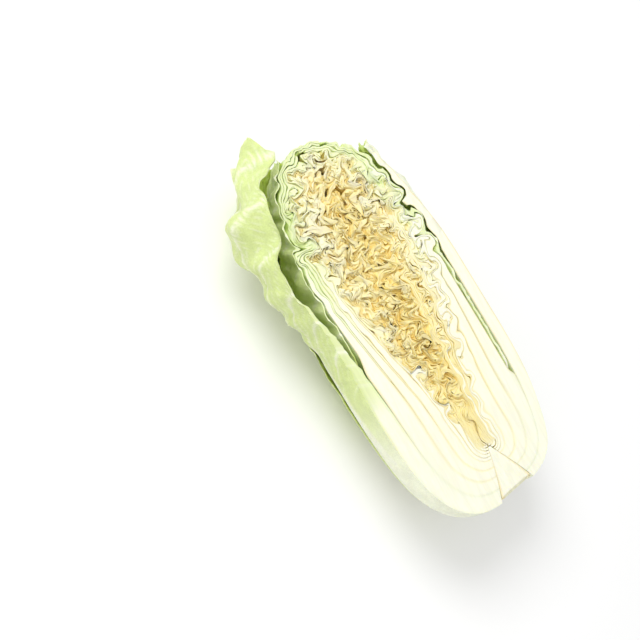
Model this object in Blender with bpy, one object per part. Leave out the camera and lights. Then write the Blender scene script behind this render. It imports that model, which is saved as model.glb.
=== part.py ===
"""Half of a napa cabbage, cut lengthwise through its core and lying on its round back, cut side up.

The head is a nest of leaves. Three numbers place a point in it:
  scale    1 on the outside of the head, 0 on its axis
  along    0 where the leaves leave the core, 1 at the top of the head
  azimuth  the turn about the axis in degrees: 180 is the left edge of the cut, 270 the underside
           and 360 the right edge of the cut
Each leaf keeps to its own layer, a range of scale, so that neighbours never meet.
+Y runs from the butt to the top of the head, and the cut faces +Z.
"""

import math

import bmesh
import bpy
import numpy as np

# The head, in metres
HEAD_RADIUS = 0.067
HEAD_DEPTH = 0.0655
HEAD_LENGTH = 0.285
WIDEST_AT = 0.148
BUTT_SQUARENESS = 3.5
TOP_SQUARENESS = 2.5
SIDE_FULLNESS = 0.80
AXIS_LEAN = 0.0065
# How much higher the butt sits for each metre to the right, and up to which height
BUTT_SLANT = 0.19
SLANT_REACH = 0.12
FLAT_SPOT = 0.0015

# The core that every leaf grows from
CORE_RADIUS = 0.017
CORE_HEIGHT = 0.038
CORE_OFFSET = 0.007
CORE_OFFSET_REACH = 0.063
CORE_RINGS = np.linspace(0.06, 0.97, 5)
CORE_GAP = 0.0004
BUTT_GAP = 0.0006
BUTT_SHRINK = 0.55
BUTT_DIP = 0.0016

# Leaf thicknesses and gaps, as shares of the head's radius
GAP = 0.014
BLADE = 0.020
LEAF_BAND = 0.075
BACK_STALK_BAND = 0.110
BACK_LEAF_BAND = 0.050
UNDER_BAND = 0.055
THIN_BAND = 0.010
AXIS_SCALE = 0.015
HEART_LAYERS = 5

# How far the top of the nest comes down towards its axis, as a share of the height above the core
TOP_DROP = 0.22
# Where the leaf tips meet is moved above this share of the way along, by each leaf's slide
SLIDE_FROM = 0.72

# The layers of the nest, from the outside in
BACK_OUTER, WRAPPER, BACK_INNER, SIDE_2, SIDE_3, SIDE_4, HEART = range(7)

# How much thicker the white stalks are than the leaves above them, on each side of the cut
LEFT_STALKS = {WRAPPER: 0.160, SIDE_2: 0.115, SIDE_3: 0.085, SIDE_4: 0.060}
RIGHT_STALKS = {WRAPPER: 0.085, SIDE_2: 0.120, SIDE_3: 0.120, SIDE_4: 0.095}

# The wrappers' free tops, at these angles from the cut: where along the head the leaf ends, and how far
# it opens. The left one also folds its edge in over the cut, by this rise and reach in metres.
TOP_ANGLES = (0.0, 8.0, 24.0, 34.0, 41.5, 85.0)
LEFT_ENDS = (0.800, 0.865, 0.805, 0.790, 0.780, 0.760)
LEFT_OPENS = (0.85, 1.00, 0.95, 0.60, 0.0, 0.0)
RIGHT_ENDS = (0.905, 0.885, 0.850, 0.830, 0.820, 0.800)
RIGHT_OPENS = (0.0, 0.45, 1.00, 0.50, 0.0, 0.0)
FOLD_RISE = 0.010
FOLD_REACH = 0.010

# Grid steps of the leaf surfaces. Leaves share their rows, so that neighbours bend alike.
LAST_ROW = 0.99
ROWS_AT_CORE = 8
ROWS_AT_STALK = 4
ROWS_IN_BLADE = 14
ROWS_IN_HEART = 25
SIDE_COLUMNS = 6
HEART_COLUMNS = 4

LEFT_CUT, UNDERSIDE, RIGHT_CUT = 180.0, 270.0, 360.0

# Where the two leaves of a pair meet on the underside, in degrees, and how far the heart's tips move
SEAM_GAP = 3.0
HEART_SEAM_GAP = 8.0
HEART_SLIDE = 0.007

# Colours, as linear red, green and blue
WHITE_RIB = (0.80, 0.84, 0.62)
PALE_GREEN = (0.47, 0.62, 0.20)
LEAF_GREEN = (0.30, 0.48, 0.08)
CREAM = (0.83, 0.81, 0.56)
HEART_YELLOW = (0.80, 0.62, 0.19)


def smooth(low, high, value):
    """0 below low, 1 above high, and a smooth rise between them."""
    share = np.clip((value - low) / (high - low), 0.0, 1.0)
    return share * share * (3.0 - 2.0 * share)


def blend(first, second, share):
    return first + (second - first) * share


def head_outline():
    """The head's outline from the core's rim to the top, as (share of its length, radius, height)."""
    rim = math.acos((CORE_RADIUS / HEAD_RADIUS) ** (BUTT_SQUARENESS / 2))
    turn = np.linspace(-rim, math.pi / 2, 400)
    squareness = np.where(turn < 0, BUTT_SQUARENESS, TOP_SQUARENESS)
    reach = np.where(turn < 0, WIDEST_AT, HEAD_LENGTH - WIDEST_AT)
    radius = HEAD_RADIUS * np.abs(np.cos(turn)) ** (2 / squareness)
    height = WIDEST_AT + reach * np.sign(turn) * np.abs(np.sin(turn)) ** (2 / squareness)
    length = np.concatenate([[0.0], np.cumsum(np.hypot(np.diff(radius), np.diff(height)))])
    return length / length[-1], radius, height


SHARE, RADIUS, HEIGHT = head_outline()
OUTLINE_LENGTH = float(np.hypot(np.diff(RADIUS), np.diff(HEIGHT)).sum())
ABOVE_WIDEST = HEIGHT >= WIDEST_AT


def from_cut(azimuth):
    """The angle between a point and the nearer edge of the cut, in degrees."""
    return 90.0 - np.abs(azimuth - UNDERSIDE)


def nest_height(height, scale):
    """How high a point of the outline comes on the shell of this scale."""
    top = 1.0 - TOP_DROP * (1.0 - scale)
    stretch = blend(scale, top, smooth(CORE_HEIGHT, CORE_HEIGHT + 0.060, height))
    return CORE_HEIGHT + (height - CORE_HEIGHT) * stretch


def slanted(points):
    """Raises the right side of the butt."""
    points[..., 1] += BUTT_SLANT * points[..., 0] * (1.0 - smooth(0.0, SLANT_REACH, points[..., 1]))
    return points


def place(scale, along, azimuth, slide=0.0):
    """The point at scale, along and azimuth. slide moves the place where the leaf tips meet, in metres."""
    radius = np.interp(along, SHARE, RADIUS)
    turn = np.radians(azimuth)
    across = radius * np.cos(turn) + slide / np.maximum(scale, 0.2) * smooth(SLIDE_FROM, 1.0, along) ** 2
    down = radius * np.sin(turn)
    slid = np.hypot(across, down)
    turn = np.arctan2(down, across)
    near_top = np.interp(slid, RADIUS[ABOVE_WIDEST][::-1], SHARE[ABOVE_WIDEST][::-1])
    along = np.where((along > SLIDE_FROM) & (slide != 0.0), near_top, along)
    height = nest_height(np.interp(along, SHARE, HEIGHT), scale)
    cosine = np.cos(turn)
    x = scale * slid * np.sign(cosine) * np.abs(cosine) ** SIDE_FULLNESS
    z = scale * slid * np.sin(turn) * HEAD_DEPTH / HEAD_RADIUS
    lean = AXIS_LEAN * np.cos(math.pi * np.clip(height / HEAD_LENGTH, 0.0, 1.1))
    aside = (1.0 - scale * smooth(0.0, 0.25, along)) * (1.0 - smooth(0.0, CORE_OFFSET_REACH, height))
    return slanted(np.stack([x + lean + CORE_OFFSET * aside, height, np.minimum(z, 0.0)], axis=-1))


def layer_bounds(along, azimuth):
    """The scales between the layers of the nest, from the outside in."""
    low = blend(smooth(30.0, 75.0, from_cut(azimuth)), 0.4, smooth(0.60, 0.72, along))
    thick = 1.0 - smooth(0.20, 0.70, along)
    back = BACK_LEAF_BAND + BACK_STALK_BAND * thick
    thin = THIN_BAND + BACK_LEAF_BAND * smooth(0.18, 0.34, along)
    right = 0.5 + 0.5 * np.cos(np.radians(azimuth))
    side = {}
    for layer in LEFT_STALKS:
        stalk = blend(LEFT_STALKS[layer], RIGHT_STALKS[layer], right)
        # The right wrapper's white rib runs on to the top.
        length = right * (1.0 - smooth(0.50, 0.95, along)) if layer == WRAPPER else 0.0
        side[layer] = blend(LEAF_BAND + stalk * np.maximum(thick, length), UNDER_BAND, low)
    bounds = [np.ones_like(low)]
    for band in (low * back, side[WRAPPER], blend(thin, back, low), side[SIDE_2], side[SIDE_3], side[SIDE_4]):
        bounds.append(bounds[-1] - band)
    heart_band = (bounds[-1] - AXIS_SCALE) / HEART_LAYERS
    for _ in range(HEART_LAYERS):
        bounds.append(bounds[-1] - heart_band)
    return bounds


def ruffle(along, azimuth, waves, seed):
    """A crumpled wave between -1 and 1 over a leaf, with about this many waves from base to tip."""
    draw = np.random.default_rng(seed)
    total = 0.0
    for share, pace, slant in ((0.62, 1.0, 1.3), (0.38, 1.7, -2.1)):
        phase = draw.uniform(0.0, 2.0 * math.pi)
        pace *= waves * draw.uniform(0.9, 1.1)
        total = total + share * np.sin(2.0 * math.pi * (pace * along + slant * azimuth / 90.0) + phase)
    return total


def in_layer(layer, along, azimuth, stalk, wave):
    """The outer and inner scale of a leaf. It fills its layer where stalk is 1, and is a thin blade at 0."""
    bounds = layer_bounds(along, azimuth)
    outside = bounds[layer] - GAP / 2
    room = outside - bounds[layer + 1] - GAP / 2
    thickness = np.minimum(blend(BLADE, room, stalk), room)
    outer = outside - (room - thickness) * (0.5 + 0.5 * wave)
    return outer, outer - thickness


def shell(name, outer, inner, colour):
    """One closed solid between two grids of points, split into triangles alike on both faces."""
    rows, columns = outer.shape[:2]
    points = np.concatenate([outer.reshape(-1, 3), inner.reshape(-1, 3)])
    faces = []
    behind = rows * columns

    def at(row, column):
        return row * columns + column

    for row in range(rows - 1):
        for column in range(columns - 1):
            corners = at(row, column), at(row, column + 1), at(row + 1, column + 1), at(row + 1, column)
            for a, b, c in ((0, 1, 2), (0, 2, 3)):
                faces.append((corners[a], corners[b], corners[c]))
                faces.append((behind + corners[c], behind + corners[b], behind + corners[a]))
    rim = [at(0, column) for column in range(columns)]
    rim += [at(row, columns - 1) for row in range(1, rows)]
    rim += [at(rows - 1, column) for column in range(columns - 2, -1, -1)]
    rim += [at(row, 0) for row in range(rows - 2, 0, -1)]
    for first, second in zip(rim, rim[1:] + rim[:1]):
        faces.append((second, first, behind + first))
        faces.append((second, behind + first, behind + second))
    return solid(name, points, faces, colour)


def solid(name, points, faces, colour):
    mesh = bpy.data.meshes.new(name)
    mesh.from_pydata([tuple(map(float, point)) for point in points], [], faces)
    work = bmesh.new()
    work.from_mesh(mesh)
    bmesh.ops.recalc_face_normals(work, faces=work.faces)
    work.to_mesh(mesh)
    work.free()
    mesh.shade_smooth()
    mesh.set_sharp_from_angle(angle=math.radians(50))
    material = bpy.data.materials.new(name)
    material.use_nodes = True
    shader = material.node_tree.nodes["Principled BSDF"]
    shader.inputs["Base Color"].default_value = (*colour, 1.0)
    shader.inputs["Roughness"].default_value = 0.45
    shader.inputs["Metallic"].default_value = 0.0
    mesh.materials.append(material)
    part = bpy.data.objects.new(name, mesh)
    bpy.context.scene.collection.objects.link(part)
    return part


def side_columns(cut, seam, count, extra=()):
    """Azimuths from an edge of the cut to seam, at even steps like its neighbours' and any extra turns."""
    inward = 1.0 if cut == LEFT_CUT else -1.0
    turns = np.append(np.arange(0.0, abs(seam - cut) - 1.5, 90.0 / count), extra)
    return np.sort(np.append(cut + inward * turns, seam))


def leaf_grid(columns, upper_rows, end, base_scale):
    """Rows along a leaf by its columns, with close rows round the base and in the upper blade."""
    start = CORE_GAP / (OUTLINE_LENGTH * base_scale)
    rows = np.concatenate(
        [
            [start],
            np.linspace(0.0, 0.25, ROWS_AT_CORE, endpoint=False)[1:],
            np.linspace(0.25, 0.45, ROWS_AT_STALK, endpoint=False),
            np.linspace(0.45, LAST_ROW, upper_rows),
        ]
    )
    step = (LAST_ROW - 0.45) / (upper_rows - 1)
    rows = np.append(rows[rows < end - 0.3 * step], end)
    return np.meshgrid(rows, columns, indexing="ij")


def side_leaf(name, layer, cut, seam, end, slide, seed, colour):
    """A leaf that the cut halved along its midrib. It wraps from that edge of the cut to seam."""
    along, azimuth = leaf_grid(side_columns(cut, seam, SIDE_COLUMNS), ROWS_IN_BLADE, end, 0.5)
    rib = 1.0 - smooth(15.0, 55.0, from_cut(azimuth))
    stalk = rib * (1.0 - smooth(0.30, 0.72, along))
    wave = ruffle(along, azimuth, 11.0, seed) * smooth(0.40, 0.62, along)
    outer, inner = in_layer(layer, along, azimuth, stalk, wave)
    return shell(name, place(outer, along, azimuth, slide), place(inner, along, azimuth, slide), colour)


def heart_leaf(name, layer, cut, seam, end, slide, seed):
    """A small crumpled leaf of the yellow heart."""
    along, azimuth = leaf_grid(side_columns(cut, seam, HEART_COLUMNS), ROWS_IN_HEART, end, 0.06)
    stalk = 0.75 * (1.0 - smooth(0.12, 0.42, along))
    wave = ruffle(along, azimuth, 19.0, seed) * smooth(0.25, 0.50, along)
    outer, inner = in_layer(layer, along, azimuth, stalk, wave)
    return shell(name, place(outer, along, azimuth, slide), place(inner, along, azimuth, slide), HEART_YELLOW)


def flare(points, outward, upward):
    """Moves a leaf away from the head's axis and up, by so many metres at each point."""
    away = points * np.array([1.0, 0.0, 1.0])
    away /= np.linalg.norm(away, axis=-1, keepdims=True)
    return points + outward[..., None] * away + upward[..., None] * np.array([0.0, 1.0, 0.0])


def fold_in(outer, inner, edge):
    """Folds a leaf's edge up and over the cut, by edge, 0 to 1. Both faces turn with the fold."""
    inward = -np.sign(outer[..., 0])
    thickness = np.abs(outer[..., 0] - inner[..., 0]) * (edge > 0.0)
    turn = np.arctan2(2.0 * FOLD_REACH * edge, FOLD_RISE)
    for face, depth in ((outer, 0.0), (inner, thickness)):
        face[..., 0] += inward * (FOLD_REACH * edge**2 + depth * (np.cos(turn) - 1.0))
        face[..., 2] += FOLD_RISE * edge - depth * np.sin(turn)


def wrapper_leaf(name, cut, seam, ends, opens, rib_ends, outward, upward, back, fold, seed):
    """An outermost side leaf. Its free top stands away from the head, and its tip comes back by a share."""
    columns = side_columns(cut, seam, SIDE_COLUMNS, extra=(4.0, 8.0))
    along, azimuth = leaf_grid(columns, ROWS_IN_BLADE, max(ends), 0.8)
    angle = np.abs(azimuth - cut)
    end = np.interp(angle, TOP_ANGLES, ends)
    along = np.where(along > 0.45, blend(0.45, end, (along - 0.45) / (max(ends) - 0.45)), along)
    stalk = (1.0 - smooth(15.0, 55.0, angle)) * (1.0 - smooth(*rib_ends, along))
    wave = ruffle(along, azimuth, 11.0, seed) * smooth(0.40, 0.62, along)
    outer, inner = in_layer(WRAPPER, along, azimuth, stalk, wave)
    opened = np.interp(angle, TOP_ANGLES, opens) * (1.0 + 0.22 * ruffle(along, azimuth, 9.0, seed + 1))
    bulge = outward * opened * smooth(0.46, 0.74, along) * (1.0 - back * smooth(0.74, end, along))
    lift = upward * opened * smooth(0.58, end, along) ** 1.3
    outer, inner = (flare(place(scale, along, azimuth), bulge, lift) for scale in (outer, inner))
    edge = fold * (1.0 - smooth(0.0, 14.0, angle)) * smooth(0.58, 0.70, along)
    fold_in(outer, inner, edge * (1.0 + 0.3 * ruffle(along, azimuth, 8.0, seed + 2)))
    return shell(name, outer, inner, LEAF_GREEN)


def back_leaf(name, layer, spans, end, outward, upward, seed, colour):
    """A whole leaf on the underside. spans are its half widths in degrees at the stalk and in the blade."""
    columns = np.linspace(-1.0, 1.0, 2 * SIDE_COLUMNS + 1)
    along, across = leaf_grid(columns, ROWS_IN_BLADE, end, 0.5)
    span = blend(*spans, smooth(0.20, 0.52, along))
    azimuth = UNDERSIDE + across * span
    stalk = (1.0 - smooth(14.0, 48.0, np.abs(azimuth - UNDERSIDE))) * (1.0 - smooth(0.30, 0.75, along))
    wave = ruffle(along, azimuth, 10.0, seed) * smooth(0.38, 0.60, along)
    outer, inner = in_layer(layer, along, azimuth, stalk, wave)
    amount = smooth(0.60, end, along) ** 1.3 * (1.0 + 0.25 * ruffle(along, azimuth, 7.0, seed + 1))
    faces = [flare(place(scale, along, azimuth), outward * amount, upward * amount) for scale in (outer, inner)]
    return shell(name, *faces, colour)


def core():
    """The stump in the middle: a half cone with its point up in the heart and its butt cut off flat."""
    azimuth = np.linspace(LEFT_CUT, RIGHT_CUT, 2 * SIDE_COLUMNS + 1)
    # The leaves' feet are straight between their columns, so the core keeps inside those chords.
    inset = math.cos(math.radians(45.0 / HEART_COLUMNS)) - CORE_GAP / CORE_RADIUS
    rings = []
    for scale in CORE_RINGS:
        ring = place(scale * inset, 0.0, azimuth)
        ring[:, 1] = blend(CORE_HEIGHT, float(HEIGHT[0]), scale) - BUTT_GAP
        rings.append(slanted(ring))
    butt = rings[-1].copy()
    butt[:, 0] = blend(butt[:, 0].mean(), butt[:, 0], BUTT_SHRINK)
    butt[:, 1] += BUTT_DIP
    butt[:, 2] *= BUTT_SHRINK
    rings.append(butt)
    columns = len(azimuth)
    starts = [ring * columns for ring in range(len(rings))]
    faces = []
    for first, second in zip(starts, starts[1:]):
        for column in range(columns - 1):
            faces.append((first + column, first + column + 1, second + column + 1, second + column))
    faces.append(tuple(range(columns)))
    faces.append(tuple(range(starts[-1], starts[-1] + columns)))
    faces.append(tuple(starts + [start + columns - 1 for start in reversed(starts)]))
    return solid("core", np.concatenate(rings), faces, CREAM)


def make_wrappers():
    return [
        wrapper_leaf(
            "wrapper_leaf_left",
            LEFT_CUT,
            seam=265.0,
            ends=LEFT_ENDS,
            opens=LEFT_OPENS,
            rib_ends=(0.30, 0.72),
            outward=0.022,
            upward=0.026,
            back=0.8,
            fold=1.0,
            seed=21,
        ),
        wrapper_leaf(
            "wrapper_leaf_right",
            RIGHT_CUT,
            seam=275.0,
            ends=RIGHT_ENDS,
            opens=RIGHT_OPENS,
            rib_ends=(0.60, 0.96),
            outward=0.014,
            upward=0.006,
            back=0.0,
            fold=0.0,
            seed=24,
        ),
    ]


def make_back_leaves():
    return [
        back_leaf(
            "back_leaf_outer",
            BACK_OUTER,
            spans=(42.0, 48.0),
            end=0.88,
            outward=0.005,
            upward=0.012,
            seed=11,
            colour=LEAF_GREEN,
        ),
        back_leaf(
            "back_leaf_inner",
            BACK_INNER,
            spans=(34.0, 90.0),
            end=0.90,
            outward=0.0,
            upward=0.0,
            seed=12,
            colour=PALE_GREEN,
        ),
    ]


def make_side_leaves():
    """The pairs under the wrappers. Each pair meets on the underside, at its own seam."""
    pairs = (
        # layer, seam, end of the left leaf, end of the right leaf, slide, colour
        (SIDE_2, 262.0, 0.975, 0.985, 0.012, PALE_GREEN),
        (SIDE_3, 281.0, 0.985, 0.970, -0.010, WHITE_RIB),
        (SIDE_4, 259.0, 0.975, 0.985, 0.008, CREAM),
    )
    leaves = []
    for number, (layer, seam, left_end, right_end, slide, colour) in enumerate(pairs, start=2):
        sides = (("left", LEFT_CUT, seam, left_end), ("right", RIGHT_CUT, seam + SEAM_GAP, right_end))
        for turn, (side, cut, edge, end) in enumerate(sides):
            seed = 27 + 2 * number + turn
            leaves.append(side_leaf(f"{side}_leaf_{number}", layer, cut, edge, end, slide, seed, colour))
    return leaves


def make_heart():
    leaves = []
    for number in range(HEART_LAYERS):
        slide = HEART_SLIDE * math.sin(2.4 * number + 1.0)
        seam = UNDERSIDE + (-10.0 if number % 2 else 6.0)
        end = 0.975 - 0.012 * (number % 3)
        for turn, (side, cut) in enumerate((("left", LEFT_CUT), ("right", RIGHT_CUT))):
            name = f"heart_leaf_{side}_{number + 1}"
            edge = seam + (2 * turn - 1) * HEART_SEAM_GAP / 2
            seed = 51 + 2 * number + turn
            leaves.append(heart_leaf(name, HEART + number, cut, edge, end, slide, seed))
    return leaves


def rest_on_surface(parts):
    """Sets the head on its back, flattened a little where it bears, with the origin under its middle."""
    low = np.full(3, np.inf)
    high = np.full(3, -np.inf)
    for part in parts:
        points = np.array([vertex.co for vertex in part.data.vertices])
        low = np.minimum(low, points.min(axis=0))
        high = np.maximum(high, points.max(axis=0))
    floor = float(low[2]) + FLAT_SPOT
    for part in parts:
        for vertex in part.data.vertices:
            vertex.co.z = max(vertex.co.z, floor)
    head = bpy.data.objects.new("head", None)
    bpy.context.scene.collection.objects.link(head)
    head.location = (-(low[0] + high[0]) / 2, -(low[1] + high[1]) / 2, -floor)
    for part in parts:
        part.parent = head


def clear_scene():
    for existing in list(bpy.data.objects):
        bpy.data.objects.remove(existing)


clear_scene()
rest_on_surface([core(), *make_back_leaves(), *make_wrappers(), *make_side_leaves(), *make_heart()])
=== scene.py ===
"""The looks of a halved napa cabbage: fine crinkled leaves, the cut core and a plain stage.

Three numbers place a point in the head:
  scale    1 on the outside of the head, 0 on its axis
  along    0 where the leaves leave the core, 1 at the top of the head
  azimuth  the turn about the axis in degrees: 180 is the left edge of the cut, 270 the underside
           and 360 the right edge of the cut
Every leaf keeps to its own range of scale. All leaves are then crumpled by the same flows, which move
neighbours alike, so that they fold over each other side by side.
"""

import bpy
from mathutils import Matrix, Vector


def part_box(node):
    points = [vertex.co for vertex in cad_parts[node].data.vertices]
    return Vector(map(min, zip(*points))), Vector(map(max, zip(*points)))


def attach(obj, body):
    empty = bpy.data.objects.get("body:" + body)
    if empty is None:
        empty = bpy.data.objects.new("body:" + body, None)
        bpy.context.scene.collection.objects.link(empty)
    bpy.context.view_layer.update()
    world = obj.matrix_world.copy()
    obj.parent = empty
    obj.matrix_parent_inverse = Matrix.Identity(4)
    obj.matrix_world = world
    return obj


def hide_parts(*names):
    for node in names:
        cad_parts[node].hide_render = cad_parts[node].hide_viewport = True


bl_info = {
    "name": "Halved Napa Cabbage",
    "version": (1, 0, 0),
    "blender": (4, 5, 0),
    "location": "3D View > Sidebar > Napa",
    "description": "Fine leaves, core and stage for a halved napa cabbage",
    "category": "Add Mesh",
}

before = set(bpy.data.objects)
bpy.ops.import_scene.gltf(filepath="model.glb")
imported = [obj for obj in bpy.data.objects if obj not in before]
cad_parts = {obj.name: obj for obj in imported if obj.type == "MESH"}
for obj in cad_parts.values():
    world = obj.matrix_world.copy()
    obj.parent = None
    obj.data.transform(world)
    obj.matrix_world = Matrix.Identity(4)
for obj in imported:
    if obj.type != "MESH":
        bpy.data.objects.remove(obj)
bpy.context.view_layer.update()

import math
from dataclasses import dataclass

import bpy
import numpy as np
from bpy.props import FloatProperty, FloatVectorProperty, IntProperty, PointerProperty
from mathutils import Matrix, Vector

BODY = "root"

# The head, in metres, as the solids have it
HEAD_RADIUS = 0.067
HEAD_DEPTH = 0.0655
HEAD_LENGTH = 0.285
WIDEST_AT = 0.148
BUTT_SQUARENESS = 3.5
TOP_SQUARENESS = 2.5
SIDE_FULLNESS = 0.80
AXIS_LEAN = 0.0065
BUTT_SLANT = 0.19
SLANT_REACH = 0.12
CORE_RADIUS = 0.017
CORE_HEIGHT = 0.038
CORE_OFFSET = 0.007
CORE_OFFSET_REACH = 0.063
CORE_SCALES = (0.06, 0.97)
CORE_INSET = 0.957
BUTT_GAP = 0.0006
BUTT_SHRINK = 0.55
TOP_DROP = 0.22
SLIDE_FROM = 0.72
STRETCH_REACH = 0.060

# Leaf thicknesses, as shares of the head's radius
LEAF_BAND = 0.075
BACK_STALK_BAND = 0.110
BACK_LEAF_BAND = 0.050
UNDER_BAND = 0.055
THIN_BAND = 0.010
AXIS_SCALE = 0.0012
HEART_LAYERS = 5

# The layers of the nest, from the outside in, and how much thicker the stalks are on each side
BACK_OUTER, WRAPPER, BACK_INNER, SIDE_2, SIDE_3, SIDE_4, HEART = range(7)
LEFT_STALKS = {WRAPPER: 0.160, SIDE_2: 0.115, SIDE_3: 0.085, SIDE_4: 0.060}
RIGHT_STALKS = {WRAPPER: 0.085, SIDE_2: 0.120, SIDE_3: 0.120, SIDE_4: 0.095}

# The wrappers' free tops, at these angles from the cut
TOP_ANGLES = (0.0, 8.0, 24.0, 34.0, 41.5, 85.0)
LEFT_ENDS = (0.800, 0.865, 0.805, 0.790, 0.780, 0.760)
LEFT_OPENS = (0.85, 1.00, 0.95, 0.60, 0.0, 0.0)
RIGHT_ENDS = (0.835, 0.872, 0.850, 0.820, 0.800, 0.790)
RIGHT_OPENS = (0.05, 0.95, 0.80, 0.45, 0.0, 0.0)
FREE_FROM = 0.45
FOLD_RISE = 0.010
FOLD_REACH = 0.010

LEFT_CUT, UNDERSIDE, RIGHT_CUT = 180.0, 270.0, 360.0
SIDES = (("left", LEFT_CUT), ("right", RIGHT_CUT))


def smooth(low, high, value):
    """0 below low, 1 above high, and a smooth rise between them."""
    share = np.clip((value - low) / (high - low), 0.0, 1.0)
    return share * share * (3.0 - 2.0 * share)


def blend(first, second, share):
    return first + (second - first) * share


def head_outline():
    """The head's outline from the core's rim to the top, as (share of its length, radius, height)."""
    rim = math.acos((CORE_RADIUS / HEAD_RADIUS) ** (BUTT_SQUARENESS / 2))
    turn = np.linspace(-rim, math.pi / 2, 400)
    squareness = np.where(turn < 0, BUTT_SQUARENESS, TOP_SQUARENESS)
    reach = np.where(turn < 0, WIDEST_AT, HEAD_LENGTH - WIDEST_AT)
    radius = HEAD_RADIUS * np.abs(np.cos(turn)) ** (2 / squareness)
    height = WIDEST_AT + reach * np.sign(turn) * np.abs(np.sin(turn)) ** (2 / squareness)
    length = np.concatenate([[0.0], np.cumsum(np.hypot(np.diff(radius), np.diff(height)))])
    return length / length[-1], radius, height


SHARE, RADIUS, HEIGHT = head_outline()
ABOVE_WIDEST = HEIGHT >= WIDEST_AT


def inward_from(cut):
    """The sign of the turn from an edge of the cut to the underside."""
    return 1.0 if cut == LEFT_CUT else -1.0


def from_cut(azimuth):
    """The angle between a point and the nearer edge of the cut, in degrees."""
    return 90.0 - np.abs(azimuth - UNDERSIDE)


def nest_height(height, scale):
    """How high a point of the outline comes on the shell of this scale."""
    top = 1.0 - TOP_DROP * (1.0 - scale)
    stretch = blend(scale, top, smooth(CORE_HEIGHT, CORE_HEIGHT + STRETCH_REACH, height))
    return CORE_HEIGHT + (height - CORE_HEIGHT) * stretch


def axis_lean(height):
    return AXIS_LEAN * np.cos(math.pi * np.clip(height / HEAD_LENGTH, 0.0, 1.1))


def slanted(points):
    """Raises the right side of the butt."""
    points[..., 1] += BUTT_SLANT * points[..., 0] * (1.0 - smooth(0.0, SLANT_REACH, points[..., 1]))
    return points


def place(scale, along, azimuth, slide=0.0):
    """The point at scale, along and azimuth. slide moves the place where the leaf tips meet, in metres."""
    radius = np.interp(along, SHARE, RADIUS)
    turn = np.radians(azimuth)
    across = radius * np.cos(turn) + slide / np.maximum(scale, 0.2) * smooth(SLIDE_FROM, 1.0, along) ** 2
    down = radius * np.sin(turn)
    slid = np.hypot(across, down)
    turn = np.arctan2(down, across)
    near_top = np.interp(slid, RADIUS[ABOVE_WIDEST][::-1], SHARE[ABOVE_WIDEST][::-1])
    along = np.where((along > SLIDE_FROM) & (slide != 0.0), near_top, along)
    height = nest_height(np.interp(along, SHARE, HEIGHT), scale)
    cosine = np.cos(turn)
    x = scale * slid * np.sign(cosine) * np.abs(cosine) ** SIDE_FULLNESS
    z = scale * slid * np.sin(turn) * HEAD_DEPTH / HEAD_RADIUS
    aside = (1.0 - scale * smooth(0.0, 0.25, along)) * (1.0 - smooth(0.0, CORE_OFFSET_REACH, height))
    x = x + axis_lean(height) + CORE_OFFSET * aside
    return slanted(np.stack([x, height, np.minimum(z, 0.0)], axis=-1))


def layer_bounds(along, azimuth):
    """The scales between the layers of the nest, from the outside in."""
    low = blend(smooth(30.0, 75.0, from_cut(azimuth)), 0.4, smooth(0.60, 0.72, along))
    thick = 1.0 - smooth(0.20, 0.70, along)
    back = BACK_LEAF_BAND + BACK_STALK_BAND * thick
    thin = THIN_BAND + BACK_LEAF_BAND * smooth(0.18, 0.34, along)
    right = 0.5 + 0.5 * np.cos(np.radians(azimuth))
    side = {}
    for layer in LEFT_STALKS:
        stalk = blend(LEFT_STALKS[layer], RIGHT_STALKS[layer], right)
        length = right * (1.0 - smooth(0.50, 0.95, along)) if layer == WRAPPER else 0.0
        side[layer] = blend(LEAF_BAND + stalk * np.maximum(thick, length), UNDER_BAND, low)
    bounds = [np.ones_like(low)]
    for band in (low * back, side[WRAPPER], blend(thin, back, low), side[SIDE_2], side[SIDE_3], side[SIDE_4]):
        bounds.append(bounds[-1] - band)
    heart_band = (bounds[-1] - AXIS_SCALE) / HEART_LAYERS
    for _ in range(HEART_LAYERS):
        bounds.append(bounds[-1] - heart_band)
    return bounds


def ruffle(along, azimuth, waves, seed):
    """A crumpled wave between -1 and 1 over a leaf, as its solid has it."""
    draw = np.random.default_rng(seed)
    total = 0.0
    for share, pace, slant in ((0.62, 1.0, 1.3), (0.38, 1.7, -2.1)):
        phase = draw.uniform(0.0, 2.0 * math.pi)
        pace *= waves * draw.uniform(0.9, 1.1)
        total = total + share * np.sin(2.0 * math.pi * (pace * along + slant * azimuth / 90.0) + phase)
    return total


def crinkle(along, azimuth, seed):
    """A finer, irregular wave between about -1 and 1, for the folds between a leaf's veins."""
    draw = np.random.default_rng(seed)
    phases = draw.uniform(0.0, 2.0 * math.pi, 12)
    bent = along + 0.010 * np.sin(2.0 * math.pi * 5.3 * along + phases[0])
    bent = bent + 0.006 * np.sin(2.0 * math.pi * 11.7 * along + phases[1])
    total = 0.0
    for turn, (share, waves, slant) in enumerate(
        ((0.34, 13.0, 2.2), (0.30, 21.0, -3.1), (0.22, 34.0, 5.0), (0.14, 57.0, -8.0))
    ):
        strength = 0.65 + 0.35 * np.sin(2.0 * math.pi * (3.1 + turn) * along + phases[2 + turn])
        pace = waves * draw.uniform(0.9, 1.1)
        wave = np.sin(2.0 * math.pi * (pace * bent + slant * azimuth / 90.0) + phases[7 + turn])
        total = total + share * strength * wave
    return np.clip(1.35 * total, -1.0, 1.0)


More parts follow.
